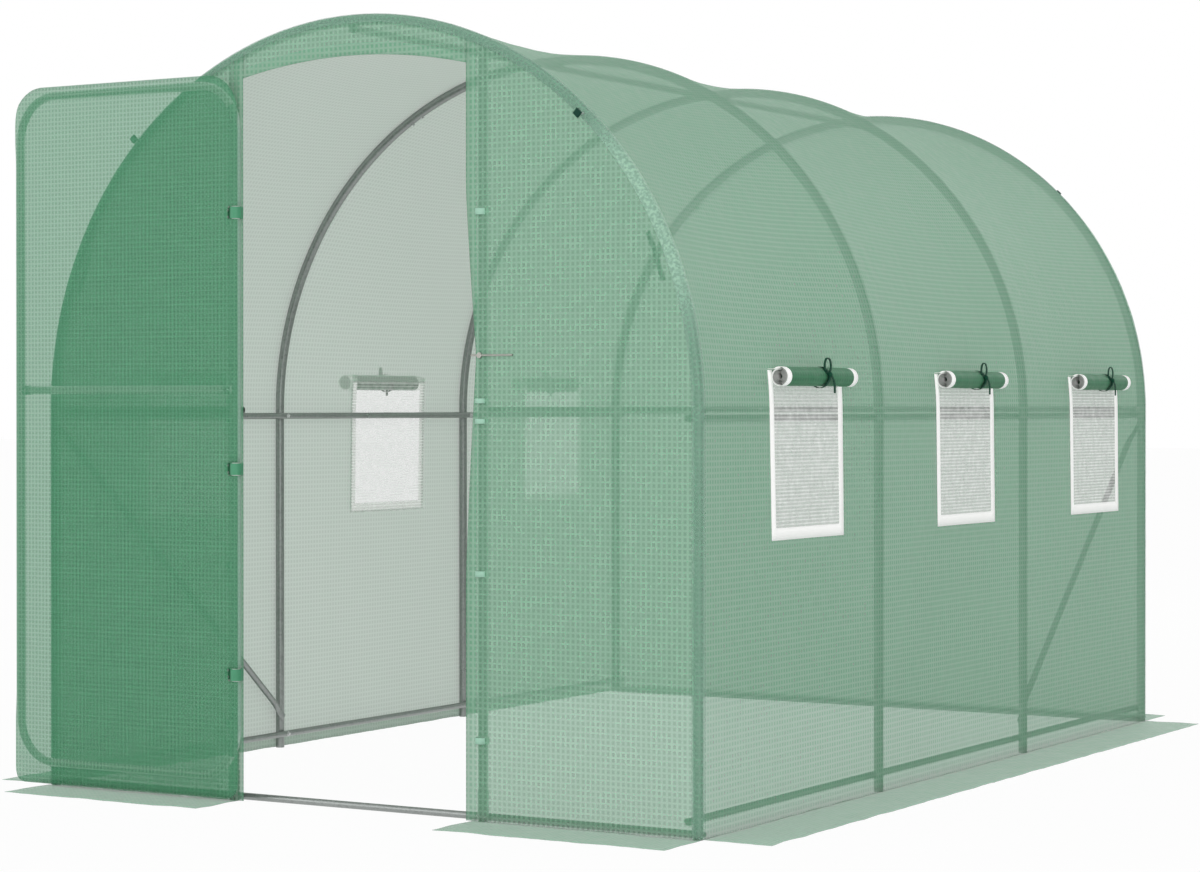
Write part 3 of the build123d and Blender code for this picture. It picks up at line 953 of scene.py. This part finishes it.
class TUNNEL_OT_door(bpy.types.Operator):
    """Stretch the cloth of the door over its frame"""

    bl_idname = "polytunnel.door"
    bl_label = "Door cloth"

    def execute(self, context):
        cover = settings().cover
        door = settings().door
        low, high = corners("door_cover")
        stile_low, stile_high = corners("door_stiles")
        free = Vector((stile_low.x + DOOR_TUBE, middle("door_stiles").y, 0))
        bend = free.y - low.y
        notch = high.x - door.notch
        room = door.hinge_room
        holes = [((notch, high.x + 0.01), (z - room, z + room)) for z in HINGE_HEIGHTS]
        bends = (
            (high.z - door.top_round, 1, door.top_round),
            (low.z + door.foot_round, -1, door.foot_round),
        )

        def place(x, z):
            for limit, turn, radius in bends:
                side = max(low.x + radius - x, x - high.x + radius, 0.0)
                over = turn * (z - limit)
                if over > 0:
                    z = limit + turn * over * math.sqrt(max(radius**2 - side**2, 0.0)) / radius
            part_x = (x - low.x) / (high.x - low.x)
            part_z = (z - low.z) / (high.z - low.z)
            slack = abs(math.sin(math.pi * part_x)) * abs(math.sin(2 * math.pi * part_z)) ** 0.5
            fold = 0.5 + 0.5 * wave(x * 3.4, z * 2.2, 8.0)
            pucker = 0.5 + 0.5 * wave(x * 12.0, z * 8.0, 3.0)
            point = Vector((x, low.y - slack * (door.bulge * fold + door.pucker * pucker), z))
            if x >= free.x:
                return point
            point.x += door.draw * (free.x - x) / (free.x - low.x)
            angle = (free.x - x) / bend
            wrapped = Vector((free.x - bend * math.sin(angle), free.y - bend * math.cos(angle), z))
            held = min(z - stile_low.z, stile_high.z - z) / door.easing
            return point.lerp(wrapped, min(1.0, max(0.0, held)))

        steps = (0.0015, 0.005, 0.011, 0.019, 0.045, 0.065)
        rounding = [low.x + step for step in steps] + [high.x - step for step in steps]
        hinge_lines = [z for hole in holes for z in hole[1]]
        hem_lines = [low.z + cover.hem, high.z - cover.hem]
        bm = lay_out(
            (low.x, high.x),
            (low.z, high.z),
            (0.019, 0.024),
            rounding + [notch, low.x + cover.hem, high.x - cover.hem],
            hinge_lines + hem_lines + [limit for limit, turn, radius in bends],
            holes,
        )

        def hem(x, z):
            return 2 if min(x - low.x, high.x - x, z - low.z, high.z - z) < cover.hem else 0

        hang(bm, place, hem, flat=upright)
        area = cut_area(bm)
        finishes = [finish_named(name) for name in ("door_weave", "door_weave", "door_hem", "door_weave")]
        piece = add_piece(bm, "door_cloth", finishes, "door", cover.thickness)
        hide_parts("door_cover")
        hinge_stile = Vector((stile_high.x - DOOR_TUBE, free.y, 0))
        sleeve = self.sleeve(hinge_stile, stile_low.z, stile_high.z)
        return {"FINISHED"}

    def sleeve(self, axis, foot, head):
        """The hem that is drawn round the hinge stile and into its bends, in lengths between the hinges."""
        door = settings().door
        radius = DOOR_TUBE + door.sleeve_lift
        turn_radius = foot - corners("door_bends")[0].z - DOOR_TUBE
        hinges = [z + side * door.hinge_room for z in HINGE_HEIGHTS for side in (-1, 1)]
        stops = [foot - door.sleeve_reach, *hinges, head + door.sleeve_reach]
        whole = bmesh.new()

        def place(turn, z):
            ripple = door.sleeve_ripple * wave(turn * 2.0, z * 9.0, 3.0)
            near = min(max(z, foot), head)
            bent = (z - near) / turn_radius
            side = Vector((math.cos(bent), 0, math.sin(bent)))
            centre = axis + UP * near + (side - ACROSS) * turn_radius
            return centre + (side * math.sin(turn) - ALONG * math.cos(turn)) * (radius + ripple)

        for span in zip(stops[::2], stops[1::2]):
            bm = lay_out((door.sleeve_start, door.sleeve_end), span, (math.radians(8), 0.03))
            join(whole, hang(bm, place))
        finish = finish_named("sleeve_hem")
        thickness = settings().cover.thickness
        return add_piece(whole, "door_sleeve", [finish, finish], "door", thickness)


def spiral(run, core, pitch):
    """The angle and the radius at a length along a sheet that is wound on itself."""
    rise = pitch / (2 * math.pi)
    turn = (math.sqrt(core**2 + 2 * rise * run) - core) / rise
    return turn, core + rise * turn


def smooth_path(points, part):
    """A point of the smooth line through the given ones; the part runs from 0 to 1."""
    last = len(points) - 1
    place = min(part * last, last - 1e-6)
    step = int(place)
    near = place - step
    a, b, c, d = (points[min(max(step + k, 0), last)] for k in (-1, 0, 1, 2))
    return 0.5 * (
        2 * b + (c - a) * near + (2 * a - 5 * b + 4 * c - d) * near**2 + (3 * b - a - 3 * c + d) * near**3
    )


class TUNNEL_OT_windows(bpy.types.Operator):
    """Sew in the insect meshes with their white borders"""

    bl_idname = "polytunnel.windows"
    bl_label = "Window meshes and borders"

    def execute(self, context):
        window = settings().window
        thickness = settings().cover.thickness
        tape = finish_named("border_tape")
        screen = finish_named("window_screen")
        for side, sign in SIDES.items():
            for number, place in enumerate(window_middles(side), 1):
                along, runs = window_span(side, place)
                size = (along[1] - along[0], runs[1] - runs[0])
                sill = runs[0] + window.sill if sign < 0 else runs[1] - window.sill
                inner = (along[0] + window.border, along[1] - window.border)
                open_runs = (sill, runs[1] + 1) if sign < 0 else (runs[0] - 1, sill)
                top = run_at(sign, middle(f"{side}_window_rolls").z + window.border_over)
                tall = (runs[0], top) if sign < 0 else (top, runs[1])
                bm = lay_out(along, tall, (0.02, 0.02), inner, [sill], [(inner, open_runs)])
                hang(bm, lambda y, run: cover_point(y, run, window.border_lift), turned=True)
                border = add_piece(
                    bm, f"{side}_window_border_{number}", [tape, tape], thickness=thickness
                )
                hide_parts(f"{side}_window_borders")
                bm = lay_out(along, runs, (0.02, 0.02))
                hang(bm, lambda y, run: cover_point(y, run, window.mesh_lift), turned=True)
                piece = add_piece(bm, f"{side}_window_mesh_{number}", [screen])
                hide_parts(f"{side}_window_screens")
        return {"FINISHED"}


class TUNNEL_OT_rolls(bpy.types.Operator):
    """Roll up the window flaps and tie them"""

    bl_idname = "polytunnel.rolls"
    bl_label = "Rolled flaps and ties"

    def execute(self, context):
        for side in SIDES:
            for number, place in enumerate(window_middles(side), 1):
                tie = self.tie(side, number, place)
                self.roll_flap(side, number, place, tie)
        return {"FINISHED"}

    def roll_axis(self, side):
        """The middle line of a wall's rolls, and their radius."""
        low, high = corners(f"{side}_window_rolls")
        clear = Vector((SIDES[side] * settings().window.roll_clear, 0, 0))
        return (low + high) / 2 + clear, (high.z - low.z) / 2

    def roll_flap(self, side, number, place, tie):
        """A flap wound on itself, with its sewn edge on the cover."""
        window = settings().window
        sign = SIDES[side]
        axis, outer = self.roll_axis(side)
        centre = Vector((axis.x, 0, axis.z))
        turns = (outer - window.core) / window.turn_pitch * 2 * math.pi
        wound = window.core * turns + window.turn_pitch / (4 * math.pi) * turns**2
        attach = run_at(sign, axis.z + 0.85 * outer)
        half = window.roll_length / 2

        def wind(y, run):
            turn, radius = spiral(min(run, wound), window.core, window.turn_pitch)
            angle = window.leave + turn - turns
            shake = 1 + 0.03 * wave(y * 9.0, turn * 0.7, number)
            creep = 0.0012 * wave(turn * 0.35, number, sign)
            ring = centre + Vector((sign * math.cos(angle), 0, math.sin(angle))) * radius * shake
            point = ring + ALONG * (y + creep)
            if run <= wound:
                return point
            part = (run - wound) / ROLL_TAIL
            return point.lerp(cover_point(y, attach, window.tail_lift), part)

        ends = (place - half, place + half)
        bm = lay_out(
            ends,
            (0.0, wound + ROLL_TAIL),
            (0.022, 0.0042),
            [ends[0] + window.roll_tape, ends[1] - window.roll_tape],
            [wound],
        )
        area = cut_area(bm)
        last_turn = wound - 2 * math.pi * outer

        def tape(y, run):
            if min(y - ends[0], ends[1] - y) > window.roll_tape:
                return 0
            # the turns inside the roll take the darker tape of painted shade
            return 2 if run > last_turn else 4

        hang(bm, wind, tape, turned=sign < 0)
        names = ("roll_weave", "roll_weave", "border_tape", "border_tape", "painted_shade_tape", "painted_shade_tape")
        finishes = [finish_named(name) for name in names]
        thickness = settings().cover.thickness
        piece = add_piece(
            bm, f"{side}_window_roll_{number}", finishes, thickness=thickness
        )
        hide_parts(f"{side}_window_rolls")
        wound + ROLL_TAIL

    def tie(self, side, number, place):
        """A flat tie round a roll, with its bow, its two ends and its knot."""
        window = settings().window
        sign = SIDES[side]
        axis, outer = self.roll_axis(side)
        centre = Vector((axis.x, place + window.tie_from_middle, axis.z))
        ring = outer + window.tie_clear

        def around(degrees, radius, shift=0.0):
            angle = math.radians(degrees)
            return centre + Vector((sign * math.cos(angle) * radius, shift, math.sin(angle) * radius))

        strap = [around(degrees, ring) for degrees in range(-205, 100, 15)]
        bow = [around(14, ring + 0.001)]
        for step in range(9):
            angle = math.radians(-80 + 40 * step)
            wide = math.cos(angle)
            swing = Vector((sign * 0.004 * wide, 0.011 * wide, 0.021 * math.sin(angle)))
            bow.append(around(52, ring + 0.009) + swing)
        bow.append(around(10, ring + 0.003))
        loose = [
            around(18, ring + 0.002),
            around(0, ring + 0.003, 0.010),
            around(-22, ring + 0.003, 0.024),
            *(around(-40, ring + 0.004, 0.036) - UP * drop for drop in (0.002, 0.012, 0.020)),
        ]
        tails = [
            around(16, ring + 0.002),
            around(-10, ring + 0.003, -0.004),
            around(-50, ring + 0.002, -0.010),
        ]
        whole = bmesh.new()
        for path, narrowing in ((strap, 1.0), (bow, 0.9), (loose, 0.9), (tails, 0.9)):
            half = window.tie_width * narrowing / 2
            run = sum((b - a).length for a, b in zip(path, path[1:]))
            bm = lay_out((-half, half), (0.0, run), (half, 0.004))
            join(whole, hang(bm, lambda wide, at: smooth_path(path, at / run) + ALONG * wide))
        knot = bmesh.ops.create_uvsphere(
            whole,
            u_segments=14,
            v_segments=9,
            radius=window.knot,
            matrix=Matrix.Translation(around(13, ring + 0.003)),
        )
        for vert in knot["verts"]:
            vert.co += Vector((0, 0, 0.0012)) * math.sin(vert.co.y * 900)
            for face in vert.link_faces:
                face.smooth = True
        finish = finish_named("tie_webbing")
        piece = add_piece(
            whole,
            f"{side}_window_tie_{number}",
            [finish, finish],
            thickness=window.tie_thickness,
        )
        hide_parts(f"{side}_window_ties")
        return piece


def seat_on(place, direction):
    """The matrix of a seat at a place, with its own z along the direction."""
    return Matrix.Translation(place) @ direction.to_track_quat("Z", "Y").to_matrix().to_4x4()


def add_cone(bm, seat, heights, radii, segments):
    """A capped cone on a seat, between two heights."""
    low, high = heights
    bmesh.ops.create_cone(
        bm,
        cap_ends=True,
        segments=segments,
        radius1=radii[0],
        radius2=radii[1],
        depth=high - low,
        matrix=seat @ Matrix.Translation((0, 0, (low + high) / 2)),
    )


def add_bolt(bm, place, direction, size, rise):
    """A bolt head on a washer: a six-sided head with a crowned top."""
    seat = seat_on(place, direction)
    washer = 0.0012
    crown = rise * 0.8
    add_cone(bm, seat, (0.0, washer), (size * 0.95, size * 0.90), 16)
    add_cone(bm, seat, (washer, crown), (size * 0.66, size * 0.66), 6)
    add_cone(bm, seat, (crown, rise), (size * 0.66, size * 0.50), 6)


def add_band(bm, centre, axis, inner, outer, tall, segments=28):
    """A ring with rounded edges about an axis."""
    seat = seat_on(centre, axis)
    soft = min(tall * 0.2, (outer - inner) * 0.3)
    profile = [
        (inner, -tall / 2),
        (outer - soft, -tall / 2),
        (outer, -tall / 2 + soft),
        (outer, tall / 2 - soft),
        (outer - soft, tall / 2),
        (inner, tall / 2),
    ]
    verts = [bm.verts.new((radius, 0, z)) for radius, z in profile]
    edges = [bm.edges.new((a, b)) for a, b in zip(verts, verts[1:] + verts[:1])]
    before = set(bm.verts)
    bmesh.ops.spin(
        bm,
        geom=verts + edges,
        cent=(0, 0, 0),
        axis=(0, 0, 1),
        angle=2 * math.pi,
        steps=segments,
        use_merge=True,
    )
    ring = verts + [vert for vert in bm.verts if vert not in before]
    bmesh.ops.remove_doubles(bm, verts=ring, dist=1e-6)
    ring = [vert for vert in ring if vert.is_valid]
    faces = list({face for vert in ring for face in vert.link_faces})
    bmesh.ops.recalc_face_normals(bm, faces=faces)
    bmesh.ops.transform(bm, matrix=seat, verts=ring)
    for face in faces:
        face.smooth = True


class TUNNEL_OT_fittings(bpy.types.Operator):
    """Add the bolts, the clips on the posts, the knobs on the end hoops and the door's fixings"""

    bl_idname = "polytunnel.fittings"
    bl_label = "Bolts and clips"

    def execute(self, context):
        self.bolts()
        self.post_clips()
        self.knobs()
        self.hoop_straps()
        self.rail_caps()
        self.door_fixings()
        return {"FINISHED"}

    def bolts(self):
        bm = bmesh.new()
        inward = HOOP_RADIUS - TUBE
        ridge = corners("ridge_rail")[0].z
        mid = middle("side_mid_rails").z
        base = middle("side_base_rails").z
        rail_inner = corners("side_mid_rails")[1].x - 2 * RAIL
        for y in HOOP_Y:
            add_bolt(bm, Vector((0, y, ridge)), -UP, *RAIL_BOLT)
            for sign in (-1, 1):
                for angle in (29, 31.2):
                    turn = math.radians(angle)
                    out = Vector((sign * math.sin(turn), 0, math.cos(turn)))
                    add_bolt(bm, UP * WALL + out * inward + ALONG * y, -out, *ARCH_BOLT)
                for z in (mid, base):
                    add_bolt(bm, Vector((sign * rail_inner, y, z)), ACROSS * -sign, *RAIL_BOLT)
        front_rail = corners("front_mid_rails")[1].y
        front_z = middle("front_mid_rails").z
        rear_z = middle("rear_mid_rail").z
        base_z = middle("front_base_rail").z
        for sign in (-1, 1):
            for x in (POST, HOOP_RADIUS):
                add_bolt(bm, Vector((sign * x, front_rail, front_z)), ALONG, *RAIL_BOLT)
                add_bolt(bm, Vector((sign * x, -front_rail, rear_z)), -ALONG, *RAIL_BOLT)
                add_bolt(bm, Vector((sign * x, front_rail, base_z)), ALONG, *SILL_BOLT)
        add_piece(bm, "frame_bolts", [finish_named("bolt_zinc")])

    def post_clips(self):
        """Clips that hold the cloth on the door posts, and the sockets at the posts' feet."""
        bm = bmesh.new()
        for sign in (-1, 1):
            for z, tall in CLIPS:
                add_band(bm, Vector((sign * POST, HOOP_Y[0] - 0.005, z)), UP, 0.0164, 0.0178, tall)
        add_piece(bm, "post_clips", [finish_named("clip_plastic")])
        bm = bmesh.new()
        for sign in (-1, 1):
            foot = Vector((sign * POST, HOOP_Y[0], 0.050))
            add_band(bm, foot, UP, TUBE + 0.0002, TUBE + 0.0013, 0.055)
        add_piece(bm, "post_sockets", [finish_named("tube_zinc")])

    def knobs(self):
        """Square-headed pegs that stand out from the end hoops."""
        bm = bmesh.new()
        stems = bmesh.new()
        for y, face in ((FRONT, -1), (REAR, 1)):
            for sign in (-1, 1):
                out = Vector((sign * math.sin(KNOB_TURN), 0, math.cos(KNOB_TURN)))
                seat = Matrix.Translation(UP * WALL + out * (HOOP_RADIUS + 0.001) + ALONG * y)
                seat @= Matrix((out.cross(ALONG), out, ALONG * face)).transposed().to_4x4()
                add_cone(stems, seat, (0.0, 0.027), (0.003, 0.003), 18)
                head = seat @ Matrix.Translation((0, 0, 0.0285)) @ Matrix.Diagonal((*KNOB_HEAD, 1.0))
                verts = bmesh.ops.create_cube(bm, size=1.0, matrix=head)["verts"]
                edges = list({edge for vert in verts for edge in vert.link_edges})
                bmesh.ops.bevel(
                    bm,
                    geom=verts + edges,
                    offset=0.0018,
                    affect="EDGES",
                    segments=3,
                    profile=0.5,
                    material=-1,
                )
        bmesh.ops.recalc_face_normals(bm, faces=bm.faces[:])
        add_piece(bm, "hoop_knobs", [finish_named("knob_plastic")])
        add_piece(stems, "knob_stems", [finish_named("bolt_zinc")])

    def hoop_straps(self):
        """A strap looped round each side of the front hoop, with its end hanging inside the cloth."""
        finish = finish_named("tie_webbing")
        low, high = STRAP_TURNS
        half = STRAP_WIDTH / 2
        hung = END_RADIUS - STRAP_INSET
        for side, sign in SIDES.items():

            def place(wide, turn):
                reach = hung + wide - 0.004 * math.sin((high - turn) * 14)
                level = FRONT + 0.005 + 0.002 * math.sin((high - turn) * 40)
                return Vector((sign * reach * math.cos(turn), level, WALL + reach * math.sin(turn)))

            bm = lay_out((-half, half), (low, high), (half, 0.006))
            hang(bm, place)
            strap = add_piece(bm, f"{side}_hoop_strap", [finish])
            bm = bmesh.new()
            out = Vector((sign * math.cos(high), 0, math.sin(high)))
            centre = UP * WALL + out * HOOP_RADIUS + ALONG * HOOP_Y[0]
            add_band(bm, centre, out.cross(ALONG), TUBE + 0.0001, TUBE + 0.0012, STRAP_WIDTH)
            loop = add_piece(bm, f"{side}_strap_loop", [finish])

    def rail_caps(self):
        """Plugs in the two ends of the ridge rail."""
        bm = bmesh.new()
        low, high = corners("ridge_rail")
        axis = (low + high) / 2
        plug = ((-0.004, 0.0005), RAIL + 0.0007)
        rim = ((0.0, 0.0036), RAIL + 0.0022)
        for end, out in ((low.y, -1), (high.y, 1)):
            seat = seat_on(Vector((axis.x, end, axis.z)), ALONG * out)
            for heights, radius in (plug, rim):
                add_cone(bm, seat, heights, (radius, radius - 0.0004), 24)
        add_piece(bm, "rail_caps", [finish_named("knob_plastic")])

    def door_fixings(self):
        """Collars on the door's mid rail, bolts at its corners and the hinges' screws."""
        mid = middle("door_mid_rail")
        stile_low, stile_high = corners("door_stiles")
        left = stile_low.x + DOOR_TUBE
        right = stile_high.x - DOOR_TUBE
        bm = bmesh.new()
        for x, sign in ((left, 1), (right, -1)):
            centre = Vector((x + sign * (DOOR_TUBE + 0.012), mid.y, mid.z))
            add_band(bm, centre, ACROSS, DOOR_TUBE, DOOR_TUBE + 0.0018, 0.022)
        for x in (left, right):
            for z in (stile_low.z + 0.03, stile_high.z - 0.03):
                add_bolt(bm, Vector((x, mid.y + DOOR_TUBE, z)), ALONG, *DOOR_BOLT)
        add_piece(bm, "door_fixings", [finish_named("bolt_zinc")], "door")
        bm = bmesh.new()
        for z in HINGE_HEIGHTS:
            for dz in (-0.009, 0.009):
                add_bolt(bm, Vector((-POST - 0.008, FRONT - 0.0025, z + dz)), -ALONG, *SCREW)
        add_piece(bm, "hinge_screws", [finish_named("bolt_zinc")])


def seen_plainly(shade):
    """1 for the rays that look at a surface, straight or through another one."""
    seen = shade.node("ShaderNodeLightPath", output="Is Camera Ray")
    for ray in ("Is Glossy Ray", "Is Transmission Ray"):
        seen = shade.math("MAXIMUM", seen, shade.node("ShaderNodeLightPath", output=ray))
    return seen


class TUNNEL_OT_stage(bpy.types.Operator):
    """Set the floor, the light and the camera"""

    bl_idname = "polytunnel.stage"
    bl_label = "Studio"

    def execute(self, context):
        stage = settings().stage
        scene = context.scene
        self.floor(stage)
        self.sky(scene, stage)
        for name, place, size, power in (
            ("key_lamp", (5.0, -8.0, 3.4), 5.0, stage.key),
            ("fill_lamp", (-5.0, -7.0, 3.0), 4.0, stage.key * stage.fill),
            ("rear_lamp", (2.0, 8.0, 4.0), 4.0, stage.key * stage.rear),
        ):
            lamp = bpy.data.lights.new(name, "AREA")
            lamp.energy = power
            lamp.size = size
            holder = bpy.data.objects.new(name, lamp)
            holder.location = place
            holder.rotation_euler = (UP - Vector(place)).to_track_quat("-Z", "Y").to_euler()
            scene.collection.objects.link(holder)
        view = bpy.data.cameras.new("photo_camera")
        view.lens = stage.lens
        view.sensor_width = 36.0
        view.sensor_fit = "HORIZONTAL"
        view.shift_y = stage.shift
        view.clip_end = 200.0
        camera = bpy.data.objects.new("photo_camera", view)
        camera.location = stage.place
        camera.rotation_euler = (math.pi / 2 + stage.pitch, 0.0, stage.yaw)
        scene.collection.objects.link(camera)
        scene.camera = camera
        scene.view_settings.view_transform = "Standard"
        return {"FINISHED"}

    def floor(self, stage):
        bm = bmesh.new()
        bmesh.ops.create_grid(bm, x_segments=2, y_segments=2, size=60.0)
        mesh = bpy.data.meshes.new("studio_floor")
        bm.to_mesh(mesh)
        bm.free()
        finish, shade, shader = start_finish("floor_white")
        shade.wire(
            shader, {"Base Color": (0.82, 0.82, 0.82, 1.0), "Roughness": 0.9, "Specular IOR Level": 0.1}
        )
        seen = seen_plainly(shade)
        glow = shade.node("ShaderNodeEmission", {"Color": (1.0, 1.0, 1.0, 1.0), "Strength": 1.0})
        plain = Shade(shade.tree, shader.outputs[0])
        mixed = shade.node("ShaderNodeMixShader", {0: seen * stage.floor_glow, 1: plain, 2: glow})
        shade.wire(shade.tree.nodes["Material Output"], {"Surface": mixed})
        mesh.materials.append(finish)
        floor = bpy.data.objects.new("studio_floor", mesh)
        bpy.context.collection.objects.link(floor)

    def sky(self, scene, stage):
        world = bpy.data.worlds.new("studio")
        world.use_nodes = True
        scene.world = world
        shade = Shade(world.node_tree)
        seen = seen_plainly(shade)
        shade.wire(
            world.node_tree.nodes["Background"],
            {"Color": (1.0, 1.0, 1.0, 1.0), "Strength": stage.sky + seen * (1.0 - stage.sky)},
        )


STEPS = (
    TUNNEL_OT_finishes,
    TUNNEL_OT_cover,
    TUNNEL_OT_ends,
    TUNNEL_OT_hems,
    TUNNEL_OT_skirts,
    TUNNEL_OT_door,
    TUNNEL_OT_windows,
    TUNNEL_OT_rolls,
    TUNNEL_OT_fittings,
    TUNNEL_OT_stage,
)


class TUNNEL_PT_sidebar(bpy.types.Panel):
    """Lists the steps that build the greenhouse"""

    bl_idname = "TUNNEL_PT_sidebar"
    bl_label = "Polytunnel greenhouse"
    bl_space_type = "VIEW_3D"
    bl_region_type = "UI"
    bl_category = "Polytunnel"

    def draw(self, context):
        for step in STEPS:
            self.layout.operator(step.bl_idname)


CLASSES = (
    CoverSettings,
    DoorSettings,
    WindowSettings,
    FinishSettings,
    StageSettings,
    TunnelSettings,
    *STEPS,
    TUNNEL_PT_sidebar,
)


def register():
    for kind in CLASSES:
        bpy.utils.register_class(kind)
    bpy.types.Scene.polytunnel = PointerProperty(type=TunnelSettings)


def unregister():
    del bpy.types.Scene.polytunnel
    for kind in reversed(CLASSES):
        bpy.utils.unregister_class(kind)


def main():
    register()
    for step in STEPS:
        group, name = step.bl_idname.split(".")
        getattr(getattr(bpy.ops, group), name)()


if __name__ == "__main__":
    main()
